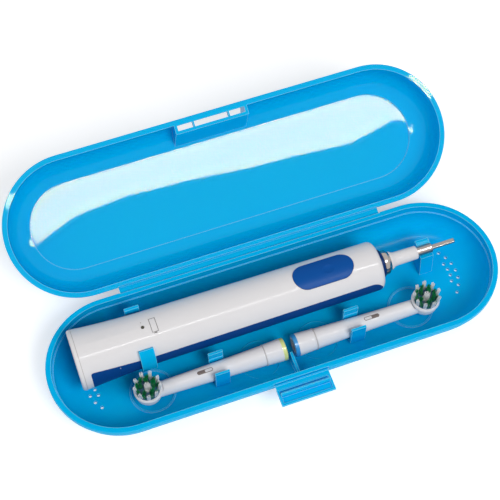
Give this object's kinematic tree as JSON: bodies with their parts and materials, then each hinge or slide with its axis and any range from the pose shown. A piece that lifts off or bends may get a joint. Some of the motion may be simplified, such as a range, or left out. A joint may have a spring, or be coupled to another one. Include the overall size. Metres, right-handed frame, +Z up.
{
  "type": "electric toothbrush travel case",
  "caption": "Oval hinged travel case in translucent blue plastic, open, holding a rechargeable toothbrush handle in a clip and spare round brush heads.",
  "frame": {"origin": "centre of the flat foot of the base tray", "axes": "+X along the case towards the handle's shaft, +Y towards the hinge, +Z up"},
  "size_m": [0.235, 0.1524, 0.0568],
  "materials": {
    "case": "translucent gloss sky-blue polypropylene",
    "white_shell": "gloss white",
    "grip": "satin dark-blue soft touch",
    "bright_metal": "polished",
    "steel": "satin ground",
    "bristle_white": "nylon tufts",
    "bristle_green": "nylon tufts",
    "ring_green": "pale yellow-green",
    "ring_blue": "mid blue",
    "inner_frame": "dark moulded",
    "cell_sleeve": "shrink sleeve",
    "motor_can": "plated can",
    "board": "solder-masked board",
    "switch_black": "black",
    "coil_copper": "enamelled copper winding",
    "bush_bronze": "sintered bronze",
    "seal_rubber": "black rubber",
    "light_guide": "clear light guide"
  },
  "bodies": {
    "tray": {"base_shell": "case", "handle_clip": "case", "shaft_rest": "case", "head_clip_left": "case", "head_clip_right": "case"},
    "fold_strip": {"hinge_strip": "case"},
    "lid": {"lid_shell": "case"},
    "latch": {"latch_flap": "case"},
    "handle": {"handle_housing": "white_shell", "grip_panel": "grip", "base_cap": "white_shell", "cap_seal": "seal_rubber", "chassis": "inner_frame", "battery_cell": "cell_sleeve", "drive_motor": "motor_can", "circuit_board": "board", "push_switch": "switch_black", "charging_coil": "coil_copper", "indicator_light": "light_guide", "neck_ring": "grip", "neck_collar": "bright_metal", "shaft_sleeve": "white_shell", "rear_bush": "bush_bronze", "front_bush": "bush_bronze"},
    "button": {"power_button": "grip"},
    "crank": {"motor_crank": "steel"},
    "drive": {"drive_shaft": "steel", "shaft_fork": "steel"},
    "head_left": {"head_neck_left": "white_shell", "head_ring_left": "ring_green"},
    "disc_left": {"head_disc_left": "white_shell", "tufts_white_left": "bristle_white", "tufts_green_left": "bristle_green"},
    "link_left": {"drive_link_left": "steel"},
    "head_right": {"head_neck_right": "white_shell", "head_ring_right": "ring_blue"},
    "disc_right": {"head_disc_right": "white_shell", "tufts_white_right": "bristle_white", "tufts_green_right": "bristle_green"},
    "link_right": {"drive_link_right": "steel"}
  },
  "joints": [
    {"name": "tray_fold", "type": "hinge", "parent": "tray", "child": "fold_strip", "pos_m": [0, 0.0363, 0.01835], "axis": [-1, 0, 0], "range_deg": [-75, 15]},
    {"name": "lid_fold", "type": "hinge", "parent": "fold_strip", "child": "lid", "pos_m": [0, 0.03958, 0.01923], "axis": [-1, 0, 0], "range_deg": [-75, 15]},
    {"name": "latch_fold", "type": "hinge", "parent": "tray", "child": "latch", "pos_m": [0, -0.0363, 0.01835], "axis": [1, 0, 0], "range_deg": [-90, 45]},
    {"name": "handle_lift", "type": "slide", "parent": "tray", "child": "handle", "axis": [0, 0, 1], "range_m": [0, 0.06], "deforming": ["handle_clip"]},
    {"name": "power_press", "type": "slide", "parent": "handle", "child": "button", "axis": [0, 0, -1], "range_m": [0, 0.0005], "stiffness_N_per_m": 400, "springref_m": -0.001},
    {"name": "motor_turn", "type": "hinge", "parent": "handle", "child": "crank", "pos_m": [0.009, 0.00875, 0.0145], "axis": [1, 0, 0], "continuous": true},
    {"name": "shaft_swing", "type": "hinge", "parent": "handle", "child": "drive", "pos_m": [0.07, 0.00875, 0.0185], "axis": [1, 0, 0], "range_deg": [-19, 19]},
    {"name": "head_left_lift", "type": "slide", "parent": "tray", "child": "head_left", "axis": [0, 0, 1], "range_m": [0, 0.06], "deforming": ["head_clip_left"]},
    {"name": "disc_left_turn", "type": "hinge", "parent": "head_left", "child": "disc_left", "pos_m": [-0.0719, -0.0149, 0.0076], "axis": [0, 0, 1], "range_deg": [-20, 20]},
    {"name": "link_left_turn", "type": "hinge", "parent": "head_left", "child": "link_left", "pos_m": [-0.0405, -0.0149, 0.0076], "axis": [1, 0, 0], "range_deg": [-35, 35]},
    {"name": "head_right_lift", "type": "slide", "parent": "tray", "child": "head_right", "axis": [0, 0, 1], "range_m": [0, 0.06], "deforming": ["head_clip_right"]},
    {"name": "disc_right_turn", "type": "hinge", "parent": "head_right", "child": "disc_right", "pos_m": [0.0753, -0.0149, 0.0076], "axis": [0, 0, 1], "range_deg": [-20, 20]},
    {"name": "link_right_turn", "type": "hinge", "parent": "head_right", "child": "link_right", "pos_m": [0.0439, -0.0149, 0.0076], "axis": [1, 0, 0], "range_deg": [-35, 35]}
  ],
  "couplings": [
    {"joint": "link_left_turn", "follows": "disc_left_turn", "ratio": -1.75},
    {"joint": "link_right_turn", "follows": "disc_right_turn", "ratio": 1.75}
  ]
}
